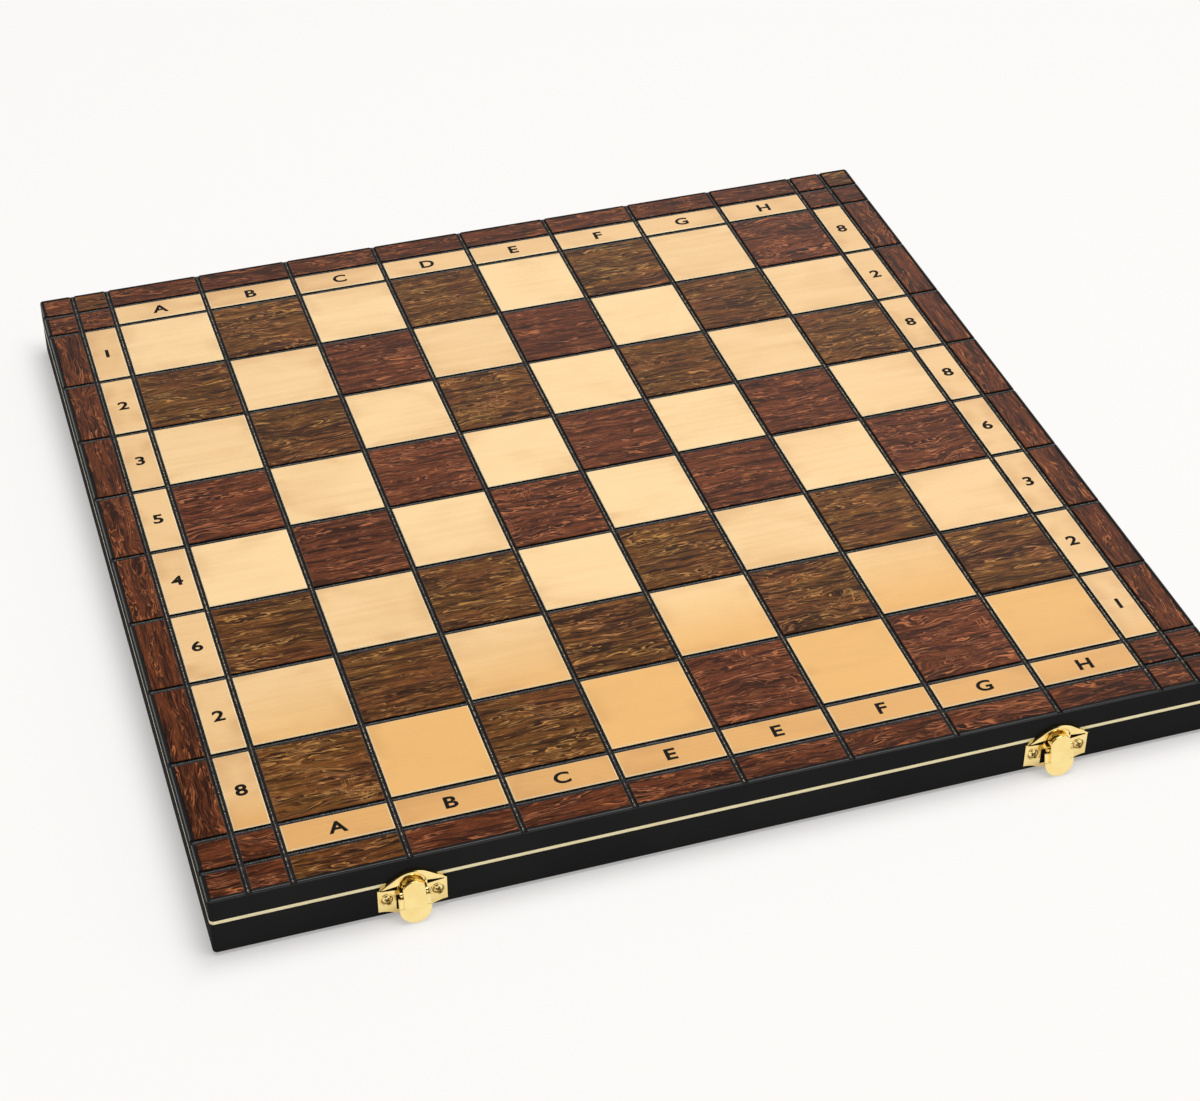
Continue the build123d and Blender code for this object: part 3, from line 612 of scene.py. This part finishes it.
# Snap clasps on the near rail and their catches on the far rail: stamped brass plates held by two screws
# each, a rocking lever on a pin, and a coil spring behind its button.
clasp_x = (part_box("right_clasp_pin")[0].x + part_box("right_clasp_pin")[1].x) / 2
screw_low, screw_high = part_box("clasp_screws")
screw_head = (screw_high.z - screw_low.z) / 2
screw_apart = screw_high.x - screw_head - clasp_x
screw_z = (screw_high.z + screw_low.z) / 2
catch_z = (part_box("catch_screws")[0].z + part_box("catch_screws")[1].z) / 2
well_ring = 0.0024


def wells(finish):
    """Painted shade in the ring between a screw's head and the rim of its countersink."""
    x = (finish.x.math("ABSOLUTE") - clasp_x).math("ABSOLUTE") - screw_apart
    z = finish.z - (finish.y.math("GREATER_THAN", 0) * (catch_z - screw_z) + screw_z)
    return 1 - ((x * x + z * z).math("SQRT") - well_ring).math("ABSOLUTE").step(0.00016, 0.00034)


pin_low, pin_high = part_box("right_clasp_pin")
lean = radians(13)
button_foot = 0.0066


def crease(finish):
    """Painted shade where the foot of the button meets the flap, at its distance from the pin down the
    lever, which leans out."""
    out, up = (pin_low.y + pin_high.y) / 2 - finish.y, finish.z - (pin_low.z + pin_high.z) / 2
    down = up * cos(lean) - out * sin(lean) + button_foot
    return (1 - down.math("ABSOLUTE").step(0.00008, 0.00026)) * 0.5


plate_brass = metal("plate_brass", (1.0, 0.80, 0.36), (0.96, 0.72, 0.28), 0.05, wells)
lever_brass = metal("lever_brass", (1.0, 0.80, 0.36), (0.97, 0.74, 0.30), 0.05, crease)
wire = metal("plated_wire", (0.92, 0.68, 0.26), (0.80, 0.52, 0.15), 0.08)
wear([hand + "_" + name for hand in ("left", "right")
      for name in ("clasp_plate", "clasp_pin", "catch_plate")], plate_brass)
wear(["left_clasp_lever", "right_clasp_lever"], lever_brass)
wear(["left_clasp_spring", "right_clasp_spring"], wire)
for node, side, face, turn, height in (("clasp_screws", "near", near_face, -1, screw_z),
                                       ("catch_screws", "far", far_face, 1, catch_z)):
    places = [(hand * clasp_x + n * screw_apart, face, height) for hand in (-1, 1) for n in (-1, 1)]
    drive(side + "_plate_screws", node, places, (0, turn, 0),
          (screw_head, 0.00075, 0.00045, 0.00045, 0.0012, 0.009), side + "_half")

# Setting: a pale table, a pale room with a dimmer ceiling that is dark behind the viewer, and one large
# soft lamp overhead. Seen directly or in a reflection, the table is nearly white, but part of it is the
# light that falls on it, more so under and beside the board, which keeps the board's shadow.
table = Finish("table", Roughness=0.9, Specular_IOR_Level=0.1)
paper = table.place.noise(3, 1).step(0.3, 0.7)
table.feed(Base_Color=paper.mix((0.955, 0.935, 0.918), (0.960, 0.940, 0.923)))
rays = [table.place.node("ShaderNodeLightPath", out=name)
        for name in ("Is Camera Ray", "Is Glossy Ray", "Is Transmission Ray")]
seen = rays[0].math("MAXIMUM", rays[1]).math("MAXIMUM", rays[2])
away = (table.x.math("ABSOLUTE") - half_width).math("MAXIMUM", near_face - table.y).math(
    "MAXIMUM", table.y - far_face).step(-0.002, 0.020)
glow = seen.node("ShaderNodeEmission", {"Color": (0.985, 0.965, 0.948), "Strength": 1.0})
both = seen.node("ShaderNodeMixShader", {0: seen * (away * 0.50 + 0.35), 2: glow})
tree = table.material.node_tree
tree.links.new(table.shader.outputs[0], both.socket.node.inputs[1])
tree.links.new(both.socket, tree.nodes["Material Output"].inputs["Surface"])
reach = 6.0
mesh = bpy.data.meshes.new("table")
corners = [(-reach, -reach, 0), (reach, -reach, 0), (reach, reach, 0), (-reach, reach, 0)]
mesh.from_pydata(corners, [], [(0, 1, 2, 3)])
mesh.materials.append(table.material)
floor = bpy.data.objects.new("table", mesh)
bpy.context.scene.collection.objects.link(floor)

scene = bpy.context.scene
scene.view_settings.view_transform = "Standard"
world = bpy.data.worlds.new("room")
world.use_nodes = True
scene.world = world
start = Tone(world.node_tree, None)
right, back, up = start.node("ShaderNodeTexCoord", out="Generated").axes()
wall = right.step(0.0, 0.55).mix((0.60, 0.595, 0.59), (1.15, 1.14, 1.13))
wall = up.step(0.20, 0.45).mix((0.98, 0.965, 0.945), wall)
slope = (up - right * 0.15).step(0.57, 0.68).mix(wall, (0.06, 0.06, 0.06))
ceiling = up.step(0.80, 0.95).mix(slope, (0.60, 0.60, 0.60))
behind = (right * -0.235 + back * -0.757 + up * 0.606).step(0.72, 0.92).mix(ceiling, (0.03, 0.03, 0.03))
shown = start.node("ShaderNodeLightPath", out="Is Camera Ray").mix(behind, (1.0, 1.0, 1.0))
room = world.node_tree.nodes["Background"]
world.node_tree.links.new(shown.socket, room.inputs["Color"])


def stand_at(name, data, place, aim, roll=0.0):
    """A lamp or camera at place, turned towards aim and then rolled by an angle."""
    made = bpy.data.objects.new(name, data)
    turned = (Vector(aim) - Vector(place)).to_track_quat("-Z", "Y").to_matrix().to_4x4()
    made.matrix_world = Matrix.Translation(place) @ turned @ Matrix.Rotation(roll, 4, "Z")
    scene.collection.objects.link(made)
    return made


lamp = bpy.data.lights.new("key", "AREA")
lamp.size, lamp.energy = 1.2, 17
stand_at("key", lamp, (0.25, -0.10, 1.5), (0, 0, 0))

# The view: on the near side, a little to the left, looking down on the board.
lens = bpy.data.cameras.new("view")
lens.lens, lens.sensor_width = 79.18, 36.0
lens.clip_start, lens.clip_end = 0.01, 50
scene.camera = stand_at("view", lens, (-0.31525, -1.00920, 0.82573), (-0.01103, -0.06294, top),
                        radians(0.177))
